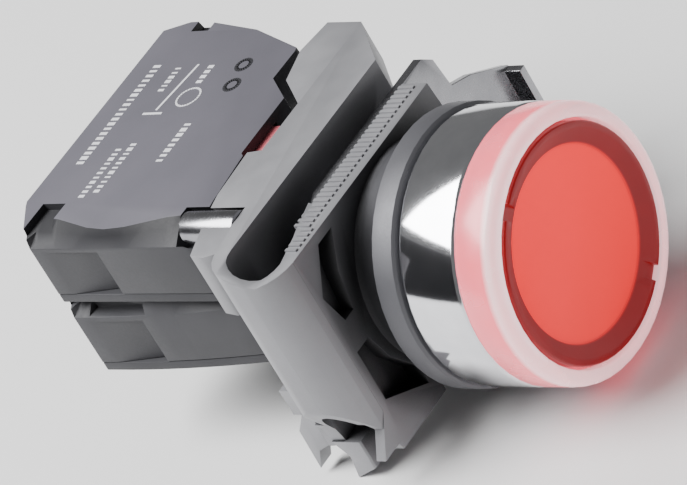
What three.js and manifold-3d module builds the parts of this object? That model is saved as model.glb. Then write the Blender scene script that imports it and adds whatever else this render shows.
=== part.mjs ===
// Illuminated push button for a 22 mm panel hole: a chrome head with a red lens, a die-cast collar
// with a locking slide and a clamp screw behind the panel, one break contact block and one lamp block.
// Millimetres. The push axis is Y, the front points along -Y, and the origin is the middle of the face
// that rests on the front of the panel. +Z is the side of the contact block that carries the markings.
import * as THREE from "three";
import { mergeVertices } from "three/addons/utils/BufferGeometryUtils.js";
import Module from "manifold-3d";

const wasm = await Module();
wasm.setup();

// Clearances
const FIT = 0.1;           // between flat faces that rest on each other
const RUNNING = 0.3;       // round pieces that move in each other
const EDGE = 1;            // how far a cutter reaches past the face it cuts

// Head, in front of the panel
const BEZEL_R = 14.75;
const BEZEL_FRONT = -7.75;
const BEZEL_BORE_R = 13.6;
const BEZEL_LIP_R = 11.2;
const LIP_FRONT = -3;
const LIP_BACK = -1.3;
const GASKET_R = 13.6;
const SEAL_PROUD = 0.15;   // how far the gasket stands behind the bezel
const RING_R = 14.7;
const RING_BORE_R = 12.95;
const RING_FRONT = -12.6;
const LENS_R = 12.6;
const LENS_FACE_R = 10.04;
const LENS_FACE = -11.4;
const LENS_BACK = -8.2;
const LENS_WALL = 1.05;
const NOTCH_ANGLE = 124;   // degrees from +X towards +Z, and one straight across
const TRAVEL = 4;

// Head, through the panel
const SLEEVE_R = 10.8;
const SLEEVE_BACK = 15.6;
const SLEEVE_BORE_R = 9.4;
const SHOULDER = [8, 12.5]; // the ledge inside: the return spring rests on its front
const GROOVE = [11.6, 13.2];
const GROOVE_R = 10.2;
const PUSHER_R = 7.7;
const PUSHER_BORE_R = 6.3;
const PUSHER_BACK = 16;
const BAR_THICK = 1.9;
const EAR_REACH = 10.2;
const EAR_HALF = 2.9;

// Collar
const BORE_R = 11.1;
const PRESS_RING_R = 15;
const PRESS_RING = [0.15, 3.3];
const NECK_R = 12.1;
const FRONT_ARM = [8, 11.5];
const REAR_ARM = [15.2, 17.8];
const FRONT_TOP = 13;
const TOP = 15;
const RAIL_FLOOR = 7;
const COLLAR_BOTTOM = -12.2;
const SCREW_X = -12.3;
const SCREW_Z = 13.7;
const SCREW_HEAD = [17.9, 25.7];
const SCREW_HEAD_R = 1.75;
const SCREW_R = 0.95;
const SLIDE = [11.85, 12.95];
const SLIDE_TRAVEL = 3;

// Blocks: three places, 10 mm apart, of which the lowest is empty
const PITCH = 10;
const HALF_THICK = 4.85;
const COVER_THICK = 1.1;
const WALL = 1.1;
const BLOCK_BACK = 51.5;
const LEFT_END = -14.4;
const RIGHT_END = 21.8;
const TERMINALS = { left: -8, right: 16 };
const DRIVE_X = 1.6;       // where the contact plunger and its spring lie
const CLAMP_PLATE = [43, 44];
const SADDLE = [45, 46];
const TERMINAL_HEAD = [46.1, 48.3];
const TERMINAL_HEAD_R = 2.2;
const BRIDGE = [35.3, 36.1];
const BRIDGE_HALF = 6.2;

const finish = (color, roughness, metalness) => new THREE.MeshStandardMaterial({ color, roughness, metalness });
const chrome = finish(0xd8d8dc, 0.12, 1);
const zinc = finish(0xb4b4b8, 0.45, 0.7);
const plated = finish(0xd2d4d8, 0.25, 1);
const clear = finish(0xf0e4e8, 0.15, 0);
const red = finish(0xe8383a, 0.3, 0);
const white = finish(0xf2f0ea, 0.5, 0);
const rubber = finish(0x303134, 0.8, 0);
const greyPlastic = finish(0x8f8e94, 0.5, 0);
const coverPlastic = finish(0x6c6c72, 0.5, 0);
const spring = finish(0xa8a8ac, 0.3, 1);
const brass = finish(0xc9a24a, 0.35, 1);
const silver = finish(0xd9d4c8, 0.3, 1);
const board = finish(0x2d6b45, 0.6, 0);

// ---- solids -------------------------------------------------------------------------------------

function signedVolume(points, triangles) {
  const at = (i) => new THREE.Vector3().fromArray(points, 3 * i);
  let sum = 0;
  for (let i = 0; i < triangles.length; i += 3) {
    sum += at(triangles[i]).dot(at(triangles[i + 1]).cross(at(triangles[i + 2])));
  }
  return sum / 6;
}

// Turns a closed three.js geometry into a solid that can be joined and cut.
function solid(geometry) {
  const bare = geometry.clone();
  bare.deleteAttribute("normal");
  bare.deleteAttribute("uv");
  const merged = mergeVertices(bare, 1e-4);
  const points = merged.attributes.position.array;
  const triangles = [];
  for (let i = 0; i < merged.index.count; i += 3) {
    const [a, b, c] = merged.index.array.slice(i, i + 3);
    if (a !== b && b !== c && c !== a) triangles.push(a, b, c);
  }
  if (signedVolume(points, triangles) < 0) triangles.reverse();
  const mesh = new wasm.Mesh({
    numProp: 3,
    vertProperties: new Float32Array(points),
    triVerts: new Uint32Array(triangles),
  });
  return new wasm.Manifold(mesh);
}

const join = (...solids) => solids.reduce((sum, next) => sum.add(next));
const cut = (body, ...cutters) => cutters.reduce((left, next) => left.subtract(next), body);

function box(x, y, z) {
  const shape = new THREE.BoxGeometry(x[1] - x[0], y[1] - y[0], z[1] - z[0]);
  return solid(shape.translate((x[0] + x[1]) / 2, (y[0] + y[1]) / 2, (z[0] + z[1]) / 2));
}

function extruded(outline, depth) {
  const shape = new THREE.Shape(outline.map(([u, v]) => new THREE.Vector2(u, v)));
  return new THREE.ExtrudeGeometry(shape, { depth, bevelEnabled: false });
}

// An outline of [x, y] points, raised along Z.
const plate = (outline, z) => solid(extruded(outline, z[1] - z[0]).translate(0, 0, z[0]));

// An outline of [x, z] points, raised along Y.
const wall = (outline, y) => solid(extruded(outline, y[1] - y[0]).rotateX(Math.PI / 2).translate(0, y[1], 0));

// An outline of [y, z] points, raised along X.
const across = (outline, x) =>
  solid(extruded(outline, x[1] - x[0]).rotateY(Math.PI / 2).rotateX(Math.PI / 2).translate(x[0], 0, 0));

// A solid between two outlines of [x, y] points at two heights. Both have the same number of points.
function loft(lower, upper, z) {
  const flat = (outline) => outline.map(([x, y]) => new THREE.Vector2(x, y));
  const clockwise = THREE.ShapeUtils.area(flat(lower)) < 0;
  const [below, above] = [lower, upper].map((outline) => (clockwise ? outline.toReversed() : outline));
  const count = below.length;
  const triangles = [];
  for (let i = 0; i < count; i++) {
    const j = (i + 1) % count;
    triangles.push(i, j, j + count, i, j + count, i + count);
  }
  for (const [a, b, c] of THREE.ShapeUtils.triangulateShape(flat(below), [])) triangles.push(c, b, a);
  for (const [a, b, c] of THREE.ShapeUtils.triangulateShape(flat(above), [])) {
    triangles.push(a + count, b + count, c + count);
  }
  const points = [...below.map((p) => [...p, z[0]]), ...above.map((p) => [...p, z[1]])];
  const mesh = new wasm.Mesh({
    numProp: 3,
    vertProperties: new Float32Array(points.flat()),
    triVerts: new Uint32Array(triangles),
  });
  return new wasm.Manifold(mesh);
}

// A profile of [radius, y] points, turned about an axis along Y.
function turned(profile, facets = 48, x = 0, z = 0) {
  const points = [...profile, profile[0]].map(([r, y]) => new THREE.Vector2(r, y));
  return solid(new THREE.LatheGeometry(points, facets).translate(x, 0, z));
}

const tube = (outer, inner, y, facets, x, z) =>
  turned([[inner, y[0]], [outer, y[0]], [outer, y[1]], [inner, y[1]]], facets, x, z);

const rod = (radius, y, facets = 20, x = 0, z = 0) => {
  const profile = [[0, y[0]], [radius, y[0]], [radius, y[1]], [0, y[1]]];
  const points = profile.map(([r, h]) => new THREE.Vector2(r, h));
  return solid(new THREE.LatheGeometry(points, facets).translate(x, 0, z));
};

class Helix extends THREE.Curve {
  constructor(radius, y, turns) {
    super();
    Object.assign(this, { radius, y, turns });
  }
  getPoint(t, target = new THREE.Vector3()) {
    const angle = 2 * Math.PI * this.turns * t;
    const height = this.y[0] + (this.y[1] - this.y[0]) * t;
    return target.set(this.radius * Math.cos(angle), height, this.radius * Math.sin(angle));
  }
}

function coil(radius, wire, y, turns, stepsPerTurn) {
  const section = [];
  for (let i = 0; i < 6; i++) {
    const angle = (i * Math.PI) / 3;
    section.push(new THREE.Vector2(wire * Math.cos(angle), wire * Math.sin(angle)));
  }
  return solid(new THREE.ExtrudeGeometry(new THREE.Shape(section), {
    steps: turns * stepsPerTurn,
    extrudePath: new Helix(radius, [y[0] + wire, y[1] - wire], turns),
    bevelEnabled: false,
  }));
}

function piece(name, body, material) {
  const mesh = body.getMesh();
  const geometry = new THREE.BufferGeometry();
  geometry.setAttribute("position", new THREE.BufferAttribute(new Float32Array(mesh.vertProperties), 3));
  geometry.setIndex(new THREE.BufferAttribute(new Uint32Array(mesh.triVerts), 1));
  geometry.computeVertexNormals();
  const node = new THREE.Mesh(geometry, material);
  node.name = name;
  return node;
}

function at(node, x, y, z) {
  node.position.set(x, y, z);
  return node;
}

// ---- head ---------------------------------------------------------------------------------------

function bezel() {
  return turned([
    [BEZEL_LIP_R, LIP_FRONT],
    [BEZEL_BORE_R, LIP_FRONT],
    [BEZEL_BORE_R, BEZEL_FRONT],
    [BEZEL_R - 0.3, BEZEL_FRONT],
    [BEZEL_R, BEZEL_FRONT + 0.3],
    [BEZEL_R, -SEAL_PROUD - 0.3],
    [BEZEL_R - 0.3, -SEAL_PROUD],
    [GASKET_R + FIT, -SEAL_PROUD],
    [GASKET_R + FIT, LIP_BACK],
    [BEZEL_LIP_R, LIP_BACK],
  ]);
}

const panelGasket = () => tube(GASKET_R, BEZEL_LIP_R, [LIP_BACK + FIT, 0]);

function clearRing() {
  const foot = BEZEL_BORE_R - 0.2;
  return turned([
    [RING_BORE_R, LIP_FRONT - 1.2],
    [RING_BORE_R, RING_FRONT + 0.15],
    [RING_BORE_R + 0.15, RING_FRONT],
    [RING_R - 1, RING_FRONT],
    [RING_R - 0.4, RING_FRONT + 0.25],
    [RING_R - 0.1, RING_FRONT + 0.6],
    [RING_R, RING_FRONT + 1.1],
    [RING_R, BEZEL_FRONT - FIT],
    [foot, BEZEL_FRONT - FIT],
    [foot, LIP_FRONT - 1.2],
  ]);
}

// A cap with a sunk face, a sloped band up to its rim and two small keyways across the rim.
function lens() {
  const rimInner = LENS_R - 0.85;
  const inside = LENS_R - LENS_WALL;
  const profile = [
    [0, LENS_FACE],
    [LENS_FACE_R, LENS_FACE],
    [rimInner, RING_FRONT],
    [LENS_R - 0.15, RING_FRONT],
    [LENS_R, RING_FRONT + 0.15],
    [LENS_R, LENS_BACK],
    [inside, LENS_BACK],
    [inside, LENS_FACE + LENS_WALL],
    [0, LENS_FACE + LENS_WALL],
  ].map(([r, y]) => new THREE.Vector2(r, y));
  const cap = solid(new THREE.LatheGeometry(profile, 60));
  const keyways = [NOTCH_ANGLE, NOTCH_ANGLE + 180].map((degrees) => {
    const key = new THREE.BoxGeometry(2.2, 1.2, 1.7);
    key.translate(LENS_R - 1, RING_FRONT + 0.1, 0);
    return solid(key.rotateY(-THREE.MathUtils.degToRad(degrees)));
  });
  return cut(cap, ...keyways);
}

const diffuser = () => rod(LENS_R - LENS_WALL - 0.3, [LENS_FACE + LENS_WALL + 0.2, -9], 40);

function pusher() {
  const flange = LENS_R - LENS_WALL - 0.3;
  return turned([
    [PUSHER_BORE_R, -8.9],
    [flange, -8.9],
    [flange, LENS_BACK],
    [PUSHER_R, LENS_BACK],
    [PUSHER_R, SHOULDER[1] + FIT],
    [PUSHER_R - 0.4, SHOULDER[1] + FIT],
    [PUSHER_R - 0.4, SHOULDER[1] + FIT + 0.7],
    [PUSHER_R, SHOULDER[1] + FIT + 0.7],
    [PUSHER_R, PUSHER_BACK],
    [PUSHER_BORE_R, PUSHER_BACK],
  ], 36);
}

// A snap-on end plate with two ears that reach the plungers of the outer blocks.
function pusherBar() {
  const y = [PUSHER_BACK + FIT, PUSHER_BACK + FIT + BAR_THICK];
  const disc = rod(8.6, y, 36);
  const ears = box([-EAR_HALF, EAR_HALF], y, [-EAR_REACH, EAR_REACH]);
  return cut(join(disc, ears), rod(3.4, [y[0] - EDGE, y[1] + EDGE], 24));
}

function retainingRing() {
  const y = [SHOULDER[1] + 2 * FIT, SHOULDER[1] + 2 * FIT + 0.5];
  const ring = tube(PUSHER_R + 1.4, PUSHER_R - 0.25, y, 36);
  return cut(ring, box([-1.6, 1.6], [y[0] - EDGE, y[1] + EDGE], [-12, 0]));
}

const returnSpring = () => coil(8.55, 0.35, [LENS_BACK + FIT, SHOULDER[0] - FIT], 6, 14);

function headSleeve() {
  return turned([
    [SLEEVE_BORE_R, -4],
    [BEZEL_BORE_R - 0.2, -4],
    [BEZEL_BORE_R - 0.2, LIP_FRONT - FIT],
    [SLEEVE_R, LIP_FRONT - FIT],
    [SLEEVE_R, GROOVE[0]],
    [GROOVE_R, GROOVE[0]],
    [GROOVE_R, GROOVE[1]],
    [SLEEVE_R, GROOVE[1]],
    [SLEEVE_R, SLEEVE_BACK - 0.4],
    [SLEEVE_R - 0.4, SLEEVE_BACK],
    [SLEEVE_BORE_R, SLEEVE_BACK],
    [SLEEVE_BORE_R, SHOULDER[1]],
    [PUSHER_R + RUNNING, SHOULDER[1]],
    [PUSHER_R + RUNNING, SHOULDER[0]],
    [SLEEVE_BORE_R, SHOULDER[0]],
  ]);
}

// ---- collar -------------------------------------------------------------------------------------

// The rounded end that ties the front arm to the rear arm, seen from +Z, with the slot's closed end inside.
const arc = (x, y, reachX, reachY, steps) => {
  const points = [];
  for (let i = 0; i <= steps; i++) {
    const angle = Math.PI * (1.5 - i / steps);
    points.push([x + reachX * Math.cos(angle), y + reachY * Math.sin(angle)]);
  }
  return points;
};

const endOutline = [
  ...arc(-17, 12.6, 4.7, 4.6, 12), [-12.6, 17.2], [-12.6, REAR_ARM[0]],
  ...arc(-17.4, 12.4, 3.2, 2.8, 10).reverse(), [-12.4, 10.8], [-8.4, FRONT_ARM[1]], [-8.4, FRONT_ARM[0]],
];

// The same end seen from the front. Its lower corner is drawn in.
const endFront = [
  [-21.6, TOP], [-21.6, -4], [-18.2, -9.4], [-17.4, COLLAR_BOTTOM - 0.6], [-8, COLLAR_BOTTOM - 0.6],
  [-8, TOP],
];

// The rail over the contact block, seen from +Z: straight in front, shaped to the block behind.
const railOutline = [
  [-17.2, REAR_ARM[0]], [12.8, REAR_ARM[0]], [19.5, 21.6], [19.7, 26.6], [15, 27.4], [10, 26.1],
  [6, 21.7], [-1.6, 21.7], [-1.9, 23.6], [-8.6, 23.2], [-11.6, 22.5], [-15.8, 21.2], [-18.2, 20.4],
  [-18.6, 18.4],
];

const frontOutline = [
  [-8.6, FRONT_TOP], [11, FRONT_TOP], [11.4, 8.7], [15, 4.6], [15.4, -9.5], [12.4, -12], [-8.6, -12],
];

// The left part of the front arm is thinner, so that the slot ends in a curve.
const cornerOutline = [[-17.2, FRONT_TOP], [-8.2, FRONT_TOP], [-8.2, -12], [-20.4, -11.8], [-17.2, -7.6]];

const rearOutline = [
  [-17.6, REAR_ARM[0]], [9.5, REAR_ARM[0]], [12.6, REAR_ARM[1]], [-17.9, REAR_ARM[1]],
];

const upperPocket = [[-16.3, 7.2], [-13.1, 11.8], [-10.4, 11.8], [-12.6, 7.8], [-13.5, 3.3], [-15.2, 3.3]];
const lowerPocket = [[-16.1, -0.4], [-13.7, -0.4], [-12.6, -4.2], [-9.7, -8.2], [-9.9, -10.4], [-16.1, -7]];

function collar() {
  const pressureRing = turned([
    [BORE_R, PRESS_RING[0]],
    [PRESS_RING_R - 0.3, PRESS_RING[0]],
    [PRESS_RING_R, PRESS_RING[0] + 0.3],
    [PRESS_RING_R, PRESS_RING[1] - 0.3],
    [PRESS_RING_R - 0.3, PRESS_RING[1]],
    [NECK_R + 0.5, PRESS_RING[1] + 1.2],
    [NECK_R, PRESS_RING[1] + 2.6],
    [NECK_R, FRONT_ARM[0] + EDGE],
    [BORE_R, FRONT_ARM[0] + EDGE],
  ]);
  const body = join(
    wall(frontOutline, FRONT_ARM),
    wall(cornerOutline, [FRONT_ARM[0], 9.6]),
    plate(endOutline, [-14, TOP]).intersect(wall(endFront, [0, 30])),
    plate(rearOutline, [COLLAR_BOTTOM, TOP]),
    plate(railOutline, [RAIL_FLOOR, TOP]),
    pressureRing,
    ...hooks(),
  );
  const front = [FRONT_ARM[0] - EDGE, 10.9];
  const depth = plate([[-18, 7], [-8, 7], [-8, 10.9], [-12, 10.2], [-15, 9.2], [-18, 8.8]], [-14, FRONT_TOP]);
  const lowerCorner = [[-23, 9.3], [-14, 9.3], [-18, 13.2], [-23, 13.2]];
  const underRail = [[8, 5], [8, 8.6], [12, 9.7], [30, 9.7], [30, 5]];
  const slope = [[5, FRONT_TOP], [10.6, FRONT_TOP], [14.8, TOP], [14.8, 18], [5, 18]];
  return cut(
    body,
    across(slope, [-23, -8]),
    rod(BORE_R, [FRONT_ARM[0], 22.4], 48),
    box([DRIVE_X - 2.9, DRIVE_X + 2.9], [18.2, 30], [5, 13.9]),
    box([-EAR_HALF - RUNNING, EAR_HALF + RUNNING], [13, 22.4], [5, 10.6]),
    wall(upperPocket, front).intersect(depth),
    wall(lowerPocket, front).intersect(depth),
    rod(SCREW_HEAD_R + 0.3, [SCREW_HEAD[0] - FIT, 30], 24, SCREW_X, SCREW_Z),
    rod(SCREW_R + 0.1, [REAR_ARM[0] + 0.15, 21], 20, SCREW_X, SCREW_Z),
    box([-23, -14.4], [15.4, 16.9], [-8.2, -4.2]),
    plate(lowerCorner, [-16, -7.7]),
    wall(underRail, [REAR_ARM[0] - EDGE, 30]),
  );
}

// Hooks under the closed end and the rear arm, where a third block would snap on.
function hooks() {
  const prong = [[13, -11.5], [13, -15.2], [16.2, -16.6], [15.6, -13.6], [17, -11.5]];
  const claw = [[17, -8], [19.4, -8], [21.2, -10.4], [21.4, -15.8], [20, -13.2], [17, -11.8]];
  return [
    across(prong, [-18, -15.4]),
    across(claw, [-17.6, -15.4]),
    box([-17.4, -14.8], [17.4, 20.8], [-8.2, -4.8]),
  ];
}

// A plate in the collar's slot. Its arc enters the groove of the sleeve, and it frees it when it slides to -X.
const slideOutline = [
  [-12.4, -9], [-8.5, -11.9], [13, -11.9], [16.2, -6.6], [20, -6], [26, -4.6], [26, 3], [20.6, 6.2],
  [17.4, 7.4], [16.9, 11.4], [15.4, 12.7], [-6, 12.7], [-9.4, 11], [-12.4, 7.4],
];

function lockingSlide() {
  const cutter = [SLIDE[0] - EDGE, SLIDE[1] + EDGE];
  const thumb = box([25, 26], [SLIDE[0] - 2.2, SLIDE[1]], [-4.5, 2.9]);
  const clearance = GROOVE_R + RUNNING;
  return cut(
    join(wall(slideOutline, SLIDE), thumb),
    rod(clearance, cutter, 48),
    box([0, SLIDE_TRAVEL], cutter, [-clearance, clearance]),
    rod(SLEEVE_R + 0.25, cutter, 48, SLIDE_TRAVEL),
  );
}

function clampScrew() {
  const head = turned([
    [SCREW_R, SCREW_HEAD[0]],
    [SCREW_HEAD_R, SCREW_HEAD[0]],
    [SCREW_HEAD_R, SCREW_HEAD[1] - 0.35],
    [SCREW_HEAD_R - 0.35, SCREW_HEAD[1]],
    [0.6, SCREW_HEAD[1]],
    [0.6, SCREW_HEAD[0]],
  ], 24);
  const core = rod(SCREW_R, [15.4, SCREW_HEAD[1] - 0.05], 20);
  const slots = crossRecess(SCREW_HEAD[1], 1.2, 0.45);
  return cut(join(core, head), ...slots);
}

const crossRecess = (top, reach, width) => [
  box([-reach, reach], [top - 1.3, top + EDGE], [-width / 2, width / 2]),
  box([-width / 2, width / 2], [top - 1.3, top + EDGE], [-reach, reach]),
];

// ---- blocks -------------------------------------------------------------------------------------

// Both blocks share one body: a box with a shaped outline, and on top a bevel whose left edge runs in a wave.
// Z is measured from the block's middle. The left edge has WAVE points, which the bevel moves inwards.
const WAVE = 9;
const BEVEL = 2;

const bodyOutline = (front, drawnIn) => {
  const left = [];
  for (let i = 0; i < WAVE; i++) {
    const t = i / (WAVE - 1);
    const wave = 2.9 - 2.1 * Math.sin(Math.PI * t) ** 2;
    left.push([LEFT_END + drawnIn * wave + front.taper * (1 - t) ** 2, 25.6 + 21.6 * t]);
  }
  return [
    [front.leftX + 0.8 * drawnIn, front.left], ...left,
    [LEFT_END + 0.4 * drawnIn, 48.2], [-9.6, 51.1], [-8.8, BLOCK_BACK],
    [20, BLOCK_BACK], [RIGHT_END - 0.5 * drawnIn, 48.2], [RIGHT_END - 0.5 * drawnIn, 45.7],
    [19.6 - 0.3 * drawnIn, 36.8], [16 - 0.2 * drawnIn, 28.6],
    [15.2, 28.4], [10.6, 28.5], [7.2, front.middle], [-1.8, front.middle], [-2.2, front.middle - front.step],
    [-9.3, front.inner], [-10.6, front.left],
  ];
};

const innerOutline = (front) => [
  [-11.4, 27.2], [-11.8, 47.4], [-9, BLOCK_BACK - WALL], [19.2, BLOCK_BACK - WALL],
  [RIGHT_END - 1.7, 47.6], [RIGHT_END - 1.7, 45.8], [18, 37.2], [14.2, 29.6], [10, 29.6],
  [6.6, front.middle + WALL], [-9.5, front.middle + WALL],
];

const floor = -HALF_THICK + COVER_THICK;


function blockCase(front) {
  const body = join(
    plate(bodyOutline(front, 0), [floor + FIT, HALF_THICK - BEVEL]),
    loft(bodyOutline(front, 0), bodyOutline(front, 1), [HALF_THICK - BEVEL, HALF_THICK]),
  );
  const holes = Object.values(TERMINALS).map((x) => rod(TERMINAL_HEAD_R + 0.3, [49, 60], 24, x));
  const slots = [[-16, -9.9], [18.9, 23]].map((x) => box(x, [48.3, 60], [floor + 0.8, floor + 4]));
  const notches = [
    box([-20, -9.3], [45.2, 48.6], [HALF_THICK - 0.9, HALF_THICK + EDGE]),
    box([19.6, 23], [44.4, 47], [HALF_THICK - 1.1, HALF_THICK + EDGE]),
  ];
  const recess = plate([[LEFT_END - 1, 38.5], [LEFT_END + 1.1, 38.5], [LEFT_END, 45.9], [LEFT_END - 1, 45.9]],
    [-HALF_THICK, HALF_THICK - BEVEL - 0.6]);
  return cut(
    body,
    plate(innerOutline(front), [-HALF_THICK, HALF_THICK - WALL]),
    recess,
    ...holes,
    ...slots,
    ...notches,
  );
}

const blockCover = (front) => plate(bodyOutline(front, 0), [-HALF_THICK, floor]);

// A strip bent twice, from the contact or the board back to the clamp plate under the terminal screw.
function terminalStrip(terminalX, innerX, innerY) {
  const side = Math.sign(innerX - terminalX);
  const span = (a, b) => [Math.min(a, b), Math.max(a, b)];
  const half = [-2.3, 2.3];
  const riserX = terminalX + side * 2.9;
  const arm = box(span(riserX - side * 0.8, innerX), [innerY, innerY + 0.8], half);
  const riser = box(span(riserX - side * 0.8, riserX), [innerY, CLAMP_PLATE[1]], half);
  const clamp = box(span(riserX, terminalX - side * 2.9), CLAMP_PLATE, half);
  return cut(join(arm, riser, clamp), rod(1.5, [CLAMP_PLATE[0] - EDGE, CLAMP_PLATE[1] + EDGE], 16, terminalX));
}

function saddle() {
  const top = box([-2.5, 2.5], SADDLE, [-2.7, 2.7]);
  const ribs = [-1.9, 1.1].map((x) => box([x, x + 0.8], [SADDLE[0] - 0.4, SADDLE[0] + 0.2], [-2.7, 2.7]));
  return cut(join(top, ...ribs), rod(1.5, [SADDLE[0] - EDGE, SADDLE[1] + EDGE], 16));
}

function terminalScrew() {
  const head = rod(TERMINAL_HEAD_R - 0.1, TERMINAL_HEAD, 24);
  const shank = rod(1.2, [38.6, TERMINAL_HEAD[0] + 0.2], 16);
  return cut(join(head, shank), ...crossRecess(TERMINAL_HEAD[1], 1.5, 0.6));
}

function terminals(group, prefix) {
  for (const [side, x] of Object.entries(TERMINALS)) {
    group.add(at(piece(`${prefix}_saddle_${side}`, saddle(), plated), x, 0, 0));
    group.add(at(piece(`${prefix}_terminal_screw_${side}`, terminalScrew(), plated), x, 0, 0));
  }
}

function contactBlock() {
  const group = new THREE.Group();
  const front = { left: 23.2, leftX: -13.6, taper: 0, middle: 24.6, step: 0.5, inner: 23.4 };
  const opening = box([DRIVE_X - 2.9, DRIVE_X + 2.9], [20, 30], [floor, HALF_THICK - WALL]);
  const screwRoom = rod(SCREW_HEAD_R + 0.5, [20, 26.5], 24, SCREW_X, SCREW_Z - PITCH);
  group.add(piece("contact_block_case", cut(blockCase(front), opening, screwRoom), greyPlastic));
  group.add(piece("contact_block_cover", blockCover(front), coverPlastic));
  group.add(piece("contact_plunger", contactPlunger(), red));
  group.add(piece("contact_bridge", contactBridge(), silver));
  group.add(at(piece("bridge_spring", bridgeSpring(), spring), DRIVE_X, 0, 0));
  for (const [side, x] of Object.entries(TERMINALS)) {
    group.add(piece(`fixed_contact_${side}`, fixedContact(x), brass));
  }
  terminals(group, "contact");
  return at(group, 0, 0, PITCH);
}

// The plunger reaches through the collar's rail to the pusher, and carries the bridge on its stem.
function contactPlunger() {
  const nose = box([DRIVE_X - 2.6, DRIVE_X + 2.6], [PUSHER_BACK + FIT + BAR_THICK + RUNNING, 29], [-2.4, 3.5]);
  const stem = box([DRIVE_X - 1.2, DRIVE_X + 1.2], [28, BRIDGE[0] - FIT], [-1.6, 1.6]);
  return join(nose, stem);
}

function contactBridge() {
  const strip = box([DRIVE_X - BRIDGE_HALF, DRIVE_X + BRIDGE_HALF], BRIDGE, [-1.9, 1.9]);
  const tips = [-1, 1].map((side) =>
    rod(1.3, [BRIDGE[0] - 0.8, BRIDGE[0] + 0.2], 16, DRIVE_X + side * (BRIDGE_HALF - 1.5)));
  return join(strip, ...tips);
}

const bridgeSpring = () => coil(1.7, 0.25, [BRIDGE[1] + FIT, BLOCK_BACK - WALL - 0.2], 7, 10);

function fixedContact(terminalX) {
  const side = Math.sign(DRIVE_X - terminalX);
  const tipX = DRIVE_X - side * (BRIDGE_HALF - 1.5);
  const y = BRIDGE[0] - 2.6;
  const tip = rod(1.3, [y + 0.6, BRIDGE[0] - 1.1], 16, tipX);
  return join(terminalStrip(terminalX, tipX + side * 1.6, y), tip);
}

function lampBlock() {
  const group = new THREE.Group();
  const front = { left: 20.3, leftX: -12.4, taper: 1.4, middle: 22.4, step: 0.1, inner: 22.3 };
  const opening = box([-2.8, 2.8], [18, 26], [-2.8, 2.8]);
  const pryingSlot = box([LEFT_END - 1, -12.7], [37.7, 45.9], [HALF_THICK - BEVEL + 0.1, HALF_THICK - 0.7]);
  group.add(piece("lamp_block_case", cut(blockCase(front), opening, pryingSlot), greyPlastic));
  group.add(piece("lamp_block_cover", blockCover(front), coverPlastic));
  group.add(piece("circuit_board", circuitBoard(), board));
  group.add(piece("led", led(), white));
  group.add(piece("series_resistor", at0(rod(1.15, [29, 35.5], 16), 5.5, 1.4), brass));
  group.add(piece("rectifier", box([-3, 1.6], [29, 33.6], [0.35, 2.3]), rubber));
  for (const [side, x] of Object.entries(TERMINALS)) {
    const inner = side === "left" ? -3.4 : 11.4;
    group.add(piece(`lamp_terminal_${side}`, terminalStrip(x, inner, 39.4), brass));
  }
  terminals(group, "lamp");
  return group;
}

const at0 = (body, x, z) => body.translate([x, 0, z]);

const boardOutline = [[-5.4, 24.2], [5.4, 24.2], [9.2, 29.4], [9.2, 38.8], [-5.4, 38.8]];

const circuitBoard = () => plate(boardOutline, [-1.3, 0.2]);

function led() {
  const dome = [[0, 15.2], [1.3, 15.6], [2.2, 16.6], [2.4, 17.8], [2.4, 20.4], [2.6, 20.4], [2.6, 23.9], [0, 23.9]];
  return solid(new THREE.LatheGeometry(dome.map(([r, y]) => new THREE.Vector2(r, y)), 24));
}

// ---- assembly -----------------------------------------------------------------------------------

const button = new THREE.Group();
button.name = "illuminated_push_button";

button.add(piece("bezel", bezel(), chrome));
button.add(piece("panel_gasket", panelGasket(), rubber));
button.add(piece("clear_ring", clearRing(), clear));
button.add(piece("red_lens", lens(), red));
button.add(piece("diffuser", diffuser(), white));
button.add(piece("pusher", pusher(), white));
button.add(piece("pusher_bar", pusherBar(), white));
button.add(piece("retaining_ring", retainingRing(), spring));
button.add(piece("return_spring", returnSpring(), spring));
button.add(piece("head_sleeve", headSleeve(), zinc));
button.add(piece("collar", collar(), zinc));
button.add(piece("locking_slide", lockingSlide(), plated));
button.add(at(piece("clamp_screw", clampScrew(), plated), SCREW_X, 0, SCREW_Z));
button.add(contactBlock());
button.add(lampBlock());

export default button;
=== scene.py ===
# %% [markdown]
# An illuminated push button, of the kind that fits a 22 mm hole in a control panel.
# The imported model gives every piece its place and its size. This script gives them their looks.
# All lengths are metres, and the push axis is Y, with the lens at the negative end.

# %% The frame
import math

import bmesh
import bpy
from mathutils import Matrix, Vector


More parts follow.
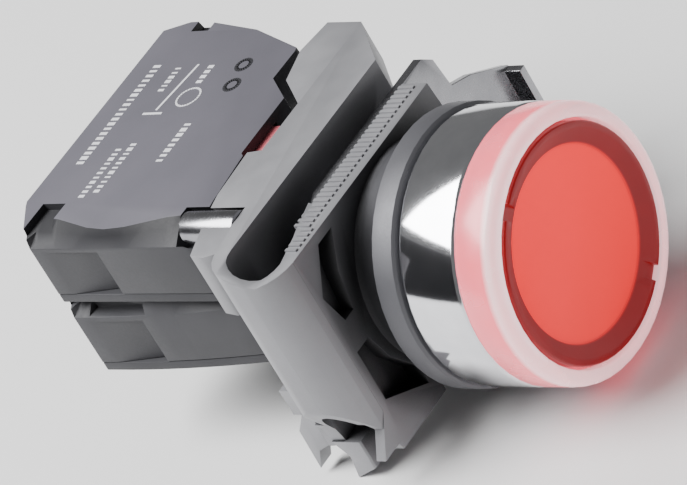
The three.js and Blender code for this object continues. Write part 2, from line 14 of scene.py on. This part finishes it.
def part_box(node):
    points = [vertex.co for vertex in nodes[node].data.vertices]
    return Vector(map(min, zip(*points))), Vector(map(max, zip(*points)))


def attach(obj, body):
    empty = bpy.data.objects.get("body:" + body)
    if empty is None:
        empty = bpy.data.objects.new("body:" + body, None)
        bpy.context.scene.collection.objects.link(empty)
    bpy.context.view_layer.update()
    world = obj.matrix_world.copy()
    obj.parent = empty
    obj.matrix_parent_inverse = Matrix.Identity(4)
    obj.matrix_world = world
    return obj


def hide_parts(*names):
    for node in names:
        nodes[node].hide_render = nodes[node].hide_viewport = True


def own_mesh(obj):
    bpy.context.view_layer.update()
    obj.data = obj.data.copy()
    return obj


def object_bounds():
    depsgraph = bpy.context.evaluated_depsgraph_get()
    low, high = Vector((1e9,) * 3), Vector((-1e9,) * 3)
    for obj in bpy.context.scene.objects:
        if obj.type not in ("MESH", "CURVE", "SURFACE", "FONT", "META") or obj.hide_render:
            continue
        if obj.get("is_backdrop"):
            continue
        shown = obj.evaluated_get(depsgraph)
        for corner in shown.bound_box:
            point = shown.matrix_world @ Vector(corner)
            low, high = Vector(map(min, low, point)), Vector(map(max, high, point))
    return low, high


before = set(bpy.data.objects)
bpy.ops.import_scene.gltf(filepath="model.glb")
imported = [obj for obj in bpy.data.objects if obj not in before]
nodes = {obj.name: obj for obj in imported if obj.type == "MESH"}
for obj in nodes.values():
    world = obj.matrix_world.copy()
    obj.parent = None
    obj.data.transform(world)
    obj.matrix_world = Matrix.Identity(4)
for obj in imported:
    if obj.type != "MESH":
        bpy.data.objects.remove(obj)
cad_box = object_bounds()
MM = 0.001
print("pieces in the frame:", len(nodes))

# %% [markdown]
# The camera looks down on the button from its left and from the lens end, with a long lens, so that lines
# which are parallel stay nearly parallel. A camera could be aimed by hand. Here its three directions are
# written as rows, because they can then be read at once: which way is right, up and back in the view.

# %% The camera
view_right = Vector((0.4926, -0.7451, -0.4497))
view_up = Vector((0.6654, -0.0106, 0.7464))
view_back = Vector((-0.5609, -0.6669, 0.4905))
LENS_LENGTH = 255.5
SENSOR_WIDTH = 36
camera_data = bpy.data.cameras.new("camera")
camera_data.lens = LENS_LENGTH
camera_data.sensor_width = SENSOR_WIDTH
camera_data.clip_start = 10 * MM
camera = bpy.data.objects.new("camera", camera_data)
bpy.context.scene.collection.objects.link(camera)
turn = Matrix((view_right, view_up, view_back)).transposed()
origin_in_view = Vector((0.01515, -0.00022, -0.5055))
camera.matrix_world = Matrix.Translation(-(turn @ origin_in_view)) @ turn.to_4x4()
bpy.context.scene.camera = camera
print("camera at", [round(c, 3) for c in camera.matrix_world.translation])

# %% [markdown]
# Shader and geometry trees are both graphs of nodes. Each node could be placed by hand in the editor.
# One method that takes a node's type, its settings and its inputs keeps a tree short enough to read here.
# A Value stands for a number that a node gives, so that sums and products can be written as they are spoken.


# %% Graphs and values
class Value:
    """A number at a node's output. Arithmetic on values adds Math nodes."""

    def __init__(self, graph, socket):
        self.graph = graph
        self.socket = socket

    def math(self, operation, *others):
        inputs = dict(enumerate((self, *others)))
        node = self.graph.node("ShaderNodeMath", {"operation": operation}, inputs)
        return Value(self.graph, node.outputs[0])

    def __add__(self, other):
        return self.math("ADD", other)

    def __sub__(self, other):
        return self.math("SUBTRACT", other)

    def __rsub__(self, other):
        return (self * -1.0).math("ADD", other)

    def __mul__(self, other):
        return self.math("MULTIPLY", other)

    def __gt__(self, other):
        return self.math("GREATER_THAN", other)

    def ramp(self, start, end):
        """0 up to start, 1 from end, and a straight slope between them. End may be the smaller one."""
        share = (self - start).math("DIVIDE", end - start)
        return share.math("MAXIMUM", 0.0).math("MINIMUM", 1.0)

    __radd__ = __add__
    __rmul__ = __mul__


class Graph:
    """A tree of nodes, with one method that adds a node."""

    def __init__(self, tree):
        self.tree = tree

    def node(self, kind, settings=None, inputs=None):
        node = self.tree.nodes.new(kind)
        for key, value in (settings or {}).items():
            setattr(node, key, value)
        for key, value in (inputs or {}).items():
            self.feed(node.inputs[key], value)
        return node

    def feed(self, socket, value):
        if isinstance(value, Value):
            value = value.socket
        if isinstance(value, bpy.types.NodeSocket):
            self.tree.links.new(value, socket)
        else:
            socket.default_value = value


class Finish(Graph):
    """A material with one Principled shader, whose patterns read Object coordinates."""

    def __init__(self, name, **sockets):
        self.material = bpy.data.materials.new(name)
        self.material.use_nodes = True
        super().__init__(self.material.node_tree)
        self.tree.nodes.clear()
        self.surface = self.node("ShaderNodeBsdfPrincipled")
        self.node("ShaderNodeOutputMaterial", None, {"Surface": self.surface.outputs[0]})
        self.place = self.node("ShaderNodeTexCoord").outputs["Object"]
        axes = self.node("ShaderNodeSeparateXYZ", None, {0: self.place}).outputs
        self.x, self.y, self.z = (Value(self, axis) for axis in axes)
        for key, value in sockets.items():
            self.set(key, value)

    def set(self, key, value):
        self.feed(self.surface.inputs[key.replace("_", " ")], value)

    def noise(self, scale, detail=2.0):
        inputs = {"Vector": self.place, "Scale": scale, "Detail": detail}
        return Value(self, self.node("ShaderNodeTexNoise", None, inputs).outputs[0])

    def mix(self, factor, first, second):
        """The first colour where the factor is 0, the second where it is 1."""
        inputs = {0: factor, 6: first, 7: second}
        return self.node("ShaderNodeMix", {"data_type": "RGBA"}, inputs).outputs[2]

    def bump(self, height, depth):
        inputs = {"Height": height, "Distance": depth}
        self.set("Normal", self.node("ShaderNodeBump", None, inputs).outputs[0])

    def radius(self):
        return (self.x * self.x + self.z * self.z).math("SQRT")


def shade(red, green, blue):
    """A colour given as it looks on a screen, from 0 to 255, as linear light."""
    return tuple(((c / 255 + 0.055) / 1.055) ** 2.4 for c in (red, green, blue)) + (1.0,)


print("a mid grey is", round(shade(128, 128, 128)[0], 3), "in linear light")

# %% [markdown]
# Metals. The bezel is plated with bright chrome, the collar is cast in zinc, the sleeve is turned from it, and the
# slide and screws are zinc-plated steel. The sleeve's colour is much darker than the collar's, which is painted
# shade.
# A picture of each could be wrapped round the pieces. Procedural noise is used because it has no seams and works at
# any size: broad, faint noise for the polish and fine noise for the grain. Each finish keeps its colour by name, so
# that a later step can build on it.


# %% Metal finishes
def metal(name, dark, light, roughness, spread, grain, depth, metallic=1.0):
    finish = Finish(name, Metallic=metallic)
    cloud = finish.noise(260.0, 3.0)
    fine = finish.noise(grain, 4.0)
    finish.colour = finish.mix(cloud, dark, light)
    finish.set("Base_Color", finish.colour)
    finish.set("Roughness", roughness + spread * (cloud + fine - 1.0))
    finish.bump(fine, depth)
    return finish


CASTING = (shade(134, 134, 138), shade(150, 150, 153), 0.5, 0.2, 5200.0, 9e-6, 0.35)
metals = {
    # name: dark, light, roughness, its spread, grain, depth, how metallic
    "chrome": (shade(205, 206, 210), shade(238, 238, 242), 0.09, 0.05, 3000.0, 0.8e-6),
    "cast_zinc": CASTING,
    # Painted shade: the sleeve's zinc is much darker than the casting.
    "turned_zinc": (shade(84, 84, 88), shade(104, 104, 108), 0.42, 0.2, 5200.0, 6e-6, 0.7),
    "plated_steel": (shade(128, 128, 133), shade(178, 178, 181), 0.26, 0.14, 4200.0, 3e-6),
    "spring_steel": (shade(150, 150, 156), shade(196, 196, 202), 0.28, 0.1, 6000.0, 2e-6),
    "brass": (shade(176, 140, 62), shade(214, 182, 98), 0.3, 0.14, 4200.0, 3e-6),
    "silver": (shade(206, 202, 192), shade(240, 236, 226), 0.26, 0.1, 4200.0, 2e-6),
}
chrome, zinc, shaded_sleeve, plated, spring_steel, brass, silver = (
    metal(name, *look).material for name, look in metals.items()
)
print("metals:", ", ".join(metals))

# %% [markdown]
# The collar's slot and pockets are painted darker, which is painted shade in its recesses, and so is its front,
# which sits against the panel, with painted shade on its faces towards the lens end. The dark could be painted on
# face by face. Ambient Occlusion finds every recess at once, because it measures how closely a point is walled in by
# its own piece.

# %% Painted shade on the casting
RECESS_REACH = 6 * MM
RECESS_STRENGTH = 1.7
FRONT_STARTS, FRONT_IS_DARK = 8.2 * MM, 7.0 * MM
shaded_collar = metal("collar_zinc", *CASTING)
walled = shaded_collar.node("ShaderNodeAmbientOcclusion", {"samples": 12, "only_local": True}, {"Distance": RECESS_REACH})
# Painted shade: the more closely a point is walled in by the collar, the darker its colour.
recess_painted_shade = (1.0 - Value(shaded_collar, walled.outputs["AO"])) * RECESS_STRENGTH
# Painted shade on the front: it fades in from y = 8.2 mm and is full in front of y = 7 mm.
front_painted_shade = shaded_collar.mix(shaded_collar.y.ramp(FRONT_STARTS, FRONT_IS_DARK), shaded_collar.colour, shade(88, 88, 92))
shaded_collar.set("Base_Color", shaded_collar.mix(recess_painted_shade.math("MINIMUM", 1.0), front_painted_shade, shade(22, 22, 25)))
print("a recess is felt", round(RECESS_REACH / MM, 1), "mm away")

# %% [markdown]
# Plastics. The blocks are moulded in a grey, glass-filled plastic with a faintly eroded surface. The face that
# carries the print is painted paler, which is painted light on the top, and has a slight lilac tint. The slope below
# it is painted shade and is the darkest part. Each tone could be a material of its own. The height on the piece
# picks it here, so that one finish serves the whole case.
# The mottling is two colours mixed by noise, and fine noise raises the surface and softens its highlight.


# %% Plastic finishes
def plastic(name, dark, light, roughness=0.5, grain=4200.0, depth=7e-6, **sockets):
    finish = Finish(name, **sockets)
    cloud = finish.noise(190.0, 4.0)
    fine = finish.noise(grain, 3.0)
    finish.colour = finish.mix(cloud, dark, light)
    finish.set("Base_Color", finish.colour)
    finish.set("Roughness", roughness + 0.16 * (fine - 0.5))
    finish.bump(fine, depth)
    return finish


MATT = {"Specular_IOR_Level": 0.25}
SKIN_OF_THE_FACE = 0.02 * MM
SLOPE_STARTS, SLOPE_IS_DARK = 2.4 * MM, 0.8 * MM
face_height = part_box("contact_block_case")[1].z - SKIN_OF_THE_FACE
case = plastic("grey_plastic", shade(57, 57, 60), shade(69, 69, 72), 0.52, **MATT)
# Painted light: the printed face on top is paler than the sides.
face_painted_light = case.mix(case.noise(120.0, 3.0), shade(88, 87, 94), shade(100, 98, 106))
# Painted shade on the slope below the face, darkest from 0.8 mm below the face up to it.
slope = case.z.ramp(face_height - SLOPE_STARTS, face_height - SLOPE_IS_DARK)
side_painted_shade = case.mix(slope, case.colour, shade(36, 36, 39))
case.set("Base_Color", case.mix(case.z > face_height, side_painted_shade, face_painted_light))
cover = plastic("cover_plastic", shade(50, 50, 53), shade(62, 62, 65), **MATT)
white = plastic("white_plastic", shade(214, 212, 206), shade(232, 230, 224), 0.4, Subsurface_Weight=0.2)
rubber = plastic("rubber", shade(30, 30, 32), shade(44, 44, 46), 0.72, 2600.0, 12e-6)
red_plastic = plastic("red_plastic", shade(228, 112, 122), shade(242, 134, 144), 0.42)
board = plastic("circuit_board", shade(28, 88, 54), shade(42, 110, 70), 0.45, 3000.0, 5e-6)
print("the printed face is above z =", round(face_height / MM, 2), "mm")

# %% [markdown]
# The lens is a clear red cap, bright where lamp light or daylight comes back from the white disc behind it,
# and darker on the sloped band that runs up to its rim. True glass over a white disc would give this too, but it is
# slow and noisy. The depth is painted instead: the colour follows the distance from the push axis.

# %% The red lens
BAND_STARTS, BAND_IS_DARK = 0.8, 0.83  # shares of the lens's radius
lens_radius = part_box("red_lens")[1].x
lens_finish = Finish("red_lens", Roughness=0.4, Coat_Weight=0.25, Coat_Roughness=0.08, IOR=1.35)
band = lens_finish.radius().ramp(BAND_STARTS * lens_radius, BAND_IS_DARK * lens_radius)
cloud = lens_finish.noise(150.0, 2.0)
disc_red = lens_finish.mix(cloud, shade(244, 8, 14), shade(252, 18, 24))
band_red_painted_shade = lens_finish.mix(cloud, shade(104, 4, 10), shade(132, 8, 14))
lens_red = lens_finish.mix(band, disc_red, band_red_painted_shade)
lens_finish.set("Base_Color", lens_red)
# Painted lamp light: the lens gives out a little light of its own, and the band's darker red is painted shade.
lens_finish.set("Emission_Color", lens_red)
lens_finish.set("Emission_Strength", 0.85)
lens_finish.bump(lens_finish.noise(900.0, 2.0), 4e-6)
print("lens radius:", round(lens_radius / MM, 2), "mm")

# %% [markdown]
# The clear ring round the lens is a plastic that takes a pink tone from the lens inside it. It lets some light
# through, so it is part transmission and part plain surface. Its side is pink, where the red shows through it,
# and its front edge is nearly white. A little light of its own stands for the lamp light that it carries.

# %% The clear ring
EDGE_ENDS, SIDE_STARTS = 0.9 * MM, 1.6 * MM  # behind the ring's front
ring_finish = Finish("clear_plastic", Transmission_Weight=0.5, Coat_Weight=0.5, Coat_Roughness=0.22, IOR=1.46)
ring_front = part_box("clear_ring")[0].y
side = ring_finish.y.ramp(ring_front + EDGE_ENDS, ring_front + SIDE_STARTS)
haze = ring_finish.noise(320.0, 2.0)
side_pink = ring_finish.mix(haze, shade(250, 112, 128), shade(255, 142, 154))
edge_white = ring_finish.mix(haze, shade(250, 240, 243), shade(255, 252, 253))
ring_tone = ring_finish.mix(side, edge_white, side_pink)
ring_finish.set("Base_Color", ring_tone)
ring_finish.set("Emission_Color", ring_tone)
ring_finish.set("Emission_Strength", 0.5)
ring_finish.set("Roughness", 0.2 + 0.12 * haze)
print("ring front at y =", round(ring_front / MM, 2), "mm")

# %% [markdown]
# Small parts inside the lamp block: a lamp with a milky dome, and a resistor with colour bands. The
# bands are painted from the height along the resistor, since they are paint on the real one as well.

# %% Lamp and resistor
led_finish = Finish("led", Transmission_Weight=0.3, IOR=1.5, Coat_Weight=0.5)
milk = led_finish.mix(led_finish.noise(700.0), shade(240, 226, 220), shade(250, 242, 236))
led_finish.set("Base_Color", milk)
led_finish.set("Roughness", 0.15 + 0.1 * led_finish.noise(900.0))
BANDS = 4
resistor_finish = Finish("resistor", Coat_Weight=0.2)
low, high = (corner.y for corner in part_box("series_resistor"))
angle = (resistor_finish.y - low) * (2 * math.pi * BANDS / (high - low))
painted = angle.math("SINE") > 0.5
resistor_finish.set("Base_Color", resistor_finish.mix(painted, shade(206, 178, 132), shade(120, 52, 30)))
resistor_finish.set("Roughness", 0.4 + 0.1 * resistor_finish.noise(2000.0))
print("resistor:", BANDS, "bands on", round((high - low) / MM, 2), "mm")

# %% [markdown]
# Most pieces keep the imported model's shape, but no real edge is razor-sharp: a moulded or cast edge has a small
# radius that catches the light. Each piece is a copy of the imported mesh, with its loose triangles
# merged into flat faces, and a Bevel modifier rounds the edges.


# %% Rounded copies
MERGE_GAP = 1e-6
FLAT_ANGLE = math.radians(0.6)
ROUNDED_ANGLE = math.radians(38)
SHARP_ANGLE = math.radians(32)


def link(name, mesh):
    piece = bpy.data.objects.new(name, mesh)
    bpy.context.scene.collection.objects.link(piece)
    return piece


def settle(piece, modifier):
    """Turns what the modifier shows into the piece's own plain mesh."""
    result = piece.evaluated_get(bpy.context.evaluated_depsgraph_get())
    mesh = bpy.data.meshes.new_from_object(result)
    piece.modifiers.remove(modifier)
    piece.data = mesh


def finish_piece(piece, body, material, slot, *replaced):
    piece.data.materials.clear()
    piece.data.materials.append(material)
    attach(piece, body)
    if replaced:
        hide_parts(*replaced)
    return piece


def rounded(node, body, material, slot, width):
    """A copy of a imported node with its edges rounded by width, in millimetres."""
    shell = bmesh.new()
    shell.from_mesh(nodes[node].data)
    bmesh.ops.remove_doubles(shell, verts=shell.verts, dist=MERGE_GAP)
    bmesh.ops.dissolve_limit(shell, angle_limit=FLAT_ANGLE, verts=shell.verts, edges=shell.edges)
    mesh = bpy.data.meshes.new(f"{node}_fine")
    shell.to_mesh(mesh)
    shell.free()
    piece = link(f"{node}_fine", mesh)
    bevel = piece.modifiers.new("edges", "BEVEL")
    bevel.width = width * MM
    bevel.segments = 2
    bevel.limit_method = "ANGLE"
    bevel.angle_limit = ROUNDED_ANGLE
    bevel.use_clamp_overlap = True
    settle(piece, bevel)
    piece.data.shade_smooth()
    piece.data.set_sharp_from_angle(angle=SHARP_ANGLE)
    return finish_piece(piece, body, material, slot, node)


head = [
    rounded("bezel", "housing", chrome, "chrome", 0.22),
    rounded("panel_gasket", "housing", rubber.material, "rubber", 0.1),
    rounded("clear_ring", "housing", ring_finish.material, "clear_plastic", 0.1),
    rounded("red_lens", "button", lens_finish.material, "red_lens", 0.08),
    rounded("head_sleeve", "housing", shaded_sleeve, "zinc", 0.15),
]
print("faces:", {piece.name: len(piece.data.polygons) for piece in head})

# %% [markdown]
# The collar is one zinc casting: a ring that presses on the panel, a front arm, a rear arm with a rail over the
# contact block, and hooks. Castings have larger edge radii than moulded plastic, so its bevel is wider.

# %% Collar, slide and screw
collar = rounded("collar", "housing", shaded_collar.material, "zinc", 0.16)
rounded("locking_slide", "slide", plated, "plated_steel", 0.1)
rounded("clamp_screw", "collar_screw", plated, "plated_steel", 0.1)
print("collar faces:", len(collar.data.polygons))

# %% [markdown]
# The two blocks are snapped together from a case and a cover. Both are moulded in the same grey plastic, and the
# seam between them shows as a fine dark line, which is the real gap between two separate pieces.

# %% Blocks
for block in ("contact_block", "lamp_block"):
    rounded(f"{block}_case", "housing", case.material, "grey_plastic", 0.14)
    rounded(f"{block}_cover", "housing", cover.material, "cover_plastic", 0.12)
    print(block, "has a case and a cover")

# %% [markdown]
# What is inside: the pusher that carries the lens, the contact and its plunger, the lamp's board, and the terminals.
# Most of it shows only through slots and holes, so plain rounded copies are enough.

# %% Inner pieces
inner = {
    "diffuser": ("button", white.material, "white_plastic"),
    "pusher": ("button", white.material, "white_plastic"),
    "pusher_bar": ("button", white.material, "white_plastic"),
    "retaining_ring": ("button", spring_steel, "spring_steel"),
    "contact_plunger": ("moving_contact", red_plastic.material, "red_plastic"),
    "contact_bridge": ("moving_contact", silver, "silver"),
    "circuit_board": ("housing", board.material, "board"),
    "led": ("housing", led_finish.material, "led"),
    "series_resistor": ("housing", resistor_finish.material, "resistor"),
    "rectifier": ("housing", rubber.material, "rubber"),
}
for side in ("left", "right"):
    inner[f"fixed_contact_{side}"] = ("housing", brass, "brass")
    inner[f"lamp_terminal_{side}"] = ("housing", brass, "brass")
    for block in ("contact", "lamp"):
        inner[f"{block}_saddle_{side}"] = (f"{block}_clamp_{side}", plated, "plated_steel")
        inner[f"{block}_terminal_screw_{side}"] = (f"{block}_screw_{side}", plated, "plated_steel")
for node, (body, material, slot) in inner.items():
    rounded(node, body, material, slot, 0.08)
print("inner pieces:", len(inner))

# %% [markdown]
# Springs are wire wound on a helix. A helix could be drawn point by point, but Geometry Nodes have a
# Spiral and a sweep, so that one short tree serves both springs. The tree's inputs are the sizes that a
# spring maker would ask for.


# %% The coil recipe
class Recipe(Graph):
    """A Geometry Nodes tree with named inputs. grow() turns it into a plain mesh."""

    kinds = {float: "NodeSocketFloat", int: "NodeSocketInt", tuple: "NodeSocketVector"}

    def __init__(self, name, **sizes):
        super().__init__(bpy.data.node_groups.new(name, "GeometryNodeTree"))
        self.keys = {}
        for key, value in sizes.items():
            kind = self.kinds[type(value)]
            socket = self.tree.interface.new_socket(key, in_out="INPUT", socket_type=kind)
            self.keys[key] = socket.identifier
        socket = self.tree.interface.new_socket("Material", in_out="INPUT", socket_type="NodeSocketMaterial")
        self.keys["Material"] = socket.identifier
        self.tree.interface.new_socket("Geometry", in_out="OUTPUT", socket_type="NodeSocketGeometry")
        self.given = self.node("NodeGroupInput").outputs
        self.defaults = sizes

    def end(self, geometry):
        real = self.node("GeometryNodeRealizeInstances", None, {0: geometry}).outputs[0]
        coated = self.node("GeometryNodeSetMaterial", None, {0: real, "Material": self.given["Material"]})
        self.node("NodeGroupOutput", None, {0: coated.outputs[0]})

    def grow(self, name, material, **sizes):
        piece = link(name, bpy.data.meshes.new(name))
        modifier = piece.modifiers.new("recipe", "NODES")
        modifier.node_group = self.tree
        for key, value in {**self.defaults, **sizes, "Material": material}.items():
            modifier[self.keys[key]] = value
        settle(piece, modifier)
        return piece


coil = Recipe("coil", Radius=0.005, Length=0.01, Turns=6.0, Wire=0.0003, Place=(0.0, 0.0, 0.0))
given = coil.given
helix = coil.node("GeometryNodeCurveSpiral", None, {
    "Resolution": 36, "Rotations": given["Turns"], "Start Radius": given["Radius"],
    "End Radius": given["Radius"], "Height": given["Length"],
})
wire = coil.node("GeometryNodeCurvePrimitiveCircle", None, {"Resolution": 10, "Radius": given["Wire"]})
swept = coil.node("GeometryNodeCurveToMesh", None, {
    0: helix.outputs[0], 1: wire.outputs[0], "Fill Caps": True,
})
placed = coil.node("GeometryNodeTransform", None, {
    0: swept.outputs[0], "Translation": given["Place"], "Rotation": (-math.pi / 2, 0.0, 0.0),
})
coil.end(placed.outputs[0])


def wind(node, turns, wire_radius):
    """A coil wound in the space of a packed spring."""
    low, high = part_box(node)
    centre = (low + high) / 2
    piece = coil.grow(
        f"{node}_fine", spring_steel, Turns=turns, Wire=wire_radius,
        Radius=(high.z - low.z) / 2 - wire_radius,
        Length=high.y - low.y - 2 * wire_radius,
        Place=(centre.x, low.y + wire_radius, centre.z),
    )
    piece.data.shade_smooth()
    finish_piece(piece, "housing", spring_steel, "spring_steel", node)
    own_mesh(piece)


wind("return_spring", 6.0, 0.35 * MM)
wind("bridge_spring", 7.0, 0.25 * MM)

# %% [markdown]
# Rows. The top of the collar's front arm carries a row of fine cast ridges, which stop the arm from slipping in the
# fingers. The print on the block is rows of short marks too. One recipe makes any such row: points on a line, a
# bar on each point, and a random length for each bar where it is wanted, from a fixed seed.

# %% The row recipe
row = Recipe("row", Count=10, Start=(0.0, 0.0, 0.0), Step=(0.001, 0.0, 0.0), Bar=(0.0004, 0.002, 0.0002),
             Shortest=1.0, Seed=3)
given = row.given
line = row.node("GeometryNodeMeshLine", {"mode": "OFFSET"}, {
    "Count": given["Count"], "Start Location": given["Start"], "Offset": given["Step"],
})
bar = row.node("GeometryNodeMeshCube", None, {"Size": given["Bar"]})
chance = row.node("FunctionNodeRandomValue", {"data_type": "FLOAT"}, {
    2: given["Shortest"], 3: 1.0, "Seed": given["Seed"],
})
stretch = row.node("ShaderNodeCombineXYZ", None, {0: chance.outputs[1], 1: 1.0, 2: 1.0})
bars = row.node("GeometryNodeInstanceOnPoints", None, {
    0: line.outputs[0], "Instance": bar.outputs[0], "Scale": stretch.outputs[0],
})
row.end(bars.outputs[0])

ARM_TOP = 13 * MM
PITCH = 0.78 * MM
RIDGE_WIDTH = 0.5 * PITCH
RIDGE_HEIGHT = 0.42 * MM
ridge_rows = {
    # name: first x, middle y, count, length along y
    "arm_ridges": (-11.6, 10.35, 29, 2.1),
    "end_ridges": (-15.4, 9.35, 5, 1.5),
}
for name, (x, y, count, length) in ridge_rows.items():
    ridges = row.grow(name, zinc, Count=count, Start=(x * MM, y * MM, ARM_TOP),
                      Step=(PITCH, 0.0, 0.0), Bar=(RIDGE_WIDTH, length * MM, RIDGE_HEIGHT))
    finish_piece(ridges, "housing", zinc, "zinc")
    print(name, count)

# %% [markdown]
# The print on the block is white ink with a little relief. The real one has letters and marks, which are left
# out here. Rows of plain bars take their place, with a plain switch symbol, a plain ring and two dark dots.

# %% The print
ink = plastic("white_ink", shade(206, 206, 210), shade(226, 226, 230), 0.6, 6000.0, 2e-6).material
dark_ink = plastic("dark_ink", shade(34, 34, 38), shade(50, 50, 54), 0.6, 6000.0, 2e-6).material
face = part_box("contact_block_case")[1].z
INK = 0.03 * MM
BAR_SHARE = 0.7  # of the pitch; the rest is the gap
print_rows = [
    # x, y, bars, pitch, height, shortest
    (-2.6, 47.9, 21, 0.81, 1.1, 0.4),
    (-8.2, 43.6, 11, 0.76, 0.85, 0.4),
    (-7.4, 41.9, 11, 0.76, 0.85, 0.4),
    (-2.6, 36.0, 8, 0.84, 0.95, 0.4),
    (9.4, 44.3, 6, 0.73, 0.85, 0.4),
    (10.6, 39.4, 4, 0.84, 0.85, 0.5),
]
for count, (x, y, bars_in_row, pitch, height, shortest) in enumerate(print_rows):
    mark = row.grow(f"print_row_{count}", ink, Count=bars_in_row, Start=(x * MM, y * MM, face),
                    Step=(pitch * MM, 0.0, 0.0), Bar=(BAR_SHARE * pitch * MM, height * MM, 2 * INK),
                    Shortest=shortest, Seed=count + 5)
    finish_piece(mark, "housing", ink, "white_plastic")
print("print rows:", len(print_rows))

# %% [markdown]
# The symbol is lines, not bars. A curve could draw it, but a curve has to be swept and made a mesh before it is
# placed. A flat box along each short stretch of the line is simple, and the boxes overlap a little at the bends.


# %% The symbol
def stroke(name, points, width, material, closed=False):
    """A flat line of ink through points, given in millimetres on the printed face."""
    shell = bmesh.new()
    ends = points[1:] + points[:1] if closed else points[1:]
    for a, b in zip(points, ends):
        a, b = Vector((*a, 0)), Vector((*b, 0))
        along = (b - a).normalized() * width / 2
        across = Vector((-along.y, along.x, 0))
        lap = along * 0.2
        corners = [a - lap - across, b + lap - across, b + lap + across, a - lap + across]
        low = [shell.verts.new(corner * MM + Vector((0, 0, face - INK))) for corner in corners]
        high = [shell.verts.new(corner * MM + Vector((0, 0, face + INK))) for corner in corners]
        shell.faces.new(reversed(low))
        shell.faces.new(high)
        for i in range(4):
            j = (i + 1) % 4
            shell.faces.new((low[i], low[j], high[j], high[i]))
    mesh = bpy.data.meshes.new(name)
    shell.to_mesh(mesh)
    shell.free()
    return finish_piece(link(name, mesh), "housing", material, "white_plastic")


def circle(x, y, radius, count):
    angles = [2 * math.pi * i / count for i in range(count)]
    return [(x + radius * math.cos(a), y + radius * math.sin(a)) for a in angles]


stroke("print_lever", [(6.0, 42.6), (13.6, 41.6)], 0.32, ink)
stroke("print_left_end", [(5.4, 41.4), (5.4, 44.2)], 0.32, ink)
stroke("print_ring", circle(8.0, 39.2, 1.5, 28), 0.24, ink, closed=True)
stroke("print_dot_1", circle(13.2, 34.6, 0.9, 20), 0.5, dark_ink, closed=True)
stroke("print_dot_2", circle(9.8, 34.0, 0.9, 20), 0.5, dark_ink, closed=True)
print("symbol: lever, left end, ring and two dots")

# %% [markdown]
# The studio starts with a pale floor. Polished chrome shows whatever surrounds it, and in an all-white room it
# would look like paint. A dark card behind and to the left gives it the dark band that tells the eye that it is
# a mirror. The camera doesn't see the card itself, so it never stands in the way.


# %% Floor and card
def sheet(name, corners, colour, roughness):
    mesh = bpy.data.meshes.new(name)
    mesh.from_pydata(corners, [], [(0, 1, 2, 3)])
    mesh.update()
    coat = Finish(name)
    cloud = coat.noise(6.0, 2.0)
    coat.set("Base_Color", coat.mix(cloud, colour, tuple(0.97 * c for c in colour[:3]) + (1.0,)))
    coat.set("Roughness", roughness + 0.02 * cloud)
    mesh.materials.append(coat.material)
    piece = link(name, mesh)
    piece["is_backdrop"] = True
    return piece


FLOOR_REACH = 2.0
FLOOR_GAP = 0.05 * MM
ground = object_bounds()[0][2] - FLOOR_GAP
floor_corners = [(x * FLOOR_REACH, y * FLOOR_REACH, ground) for x, y in ((-1, -1), (1, -1), (1, 1), (-1, 1))]
sheet("floor", floor_corners, (0.8, 0.8, 0.8, 1.0), 0.7)

middle = Vector((-0.36, 0.33, 0.12))
half_along = Vector((0.667, 0.73, 0.0)).normalized() * 0.2
half_up = Vector((0, 0, 0.16))
card_corners = [middle + half_along * a + half_up * b for a, b in ((-1, -1), (1, -1), (1, 1), (-1, 1))]
dark_card = sheet("dark_card", card_corners, (0.012, 0.012, 0.014, 1.0), 0.8)
dark_card.visible_camera = False
print("floor at z =", round(ground / MM, 2), "mm")

# %% [markdown]
# One large softbox gives soft shading and a broad white patch on the chrome. More lamps would fill the shadows
# that show the shape, so the pale world does the rest at low strength.


# %% Lights
SOFTBOX_SIDE = 0.55
SOFTBOX_WATTS = 16.0
WORLD_STRENGTH = 0.2
softbox = bpy.data.lights.new("overhead", "AREA")
softbox.shape = "RECTANGLE"
softbox.size = softbox.size_y = SOFTBOX_SIDE
softbox.energy = SOFTBOX_WATTS
overhead = link("overhead", softbox)
overhead.location = (-0.3, 0.33, 0.62)
aim = Vector((0, 0.02, 0)) - overhead.location
overhead.rotation_euler = aim.to_track_quat("-Z", "Y").to_euler()

world = bpy.data.worlds.new("studio")
world.use_nodes = True
background = world.node_tree.nodes["Background"]
background.inputs["Color"].default_value = (1, 1, 1, 1)
background.inputs["Strength"].default_value = WORLD_STRENGTH
bpy.context.scene.world = world
print("softbox at", round(overhead.location.length, 2), "m from the object's middle")

# %% [markdown]
# Last, the sizes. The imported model's box and the box of what is now shown are kept side by side, since
# looks should never change an object's size.

# %% Sizes
shown_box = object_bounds()
boxes = {"cad": [list(corner) for corner in cad_box], "visual": [list(corner) for corner in shown_box]}
for name, corners in boxes.items():
    print(name, [[round(value / MM, 2) for value in corner] for corner in corners])
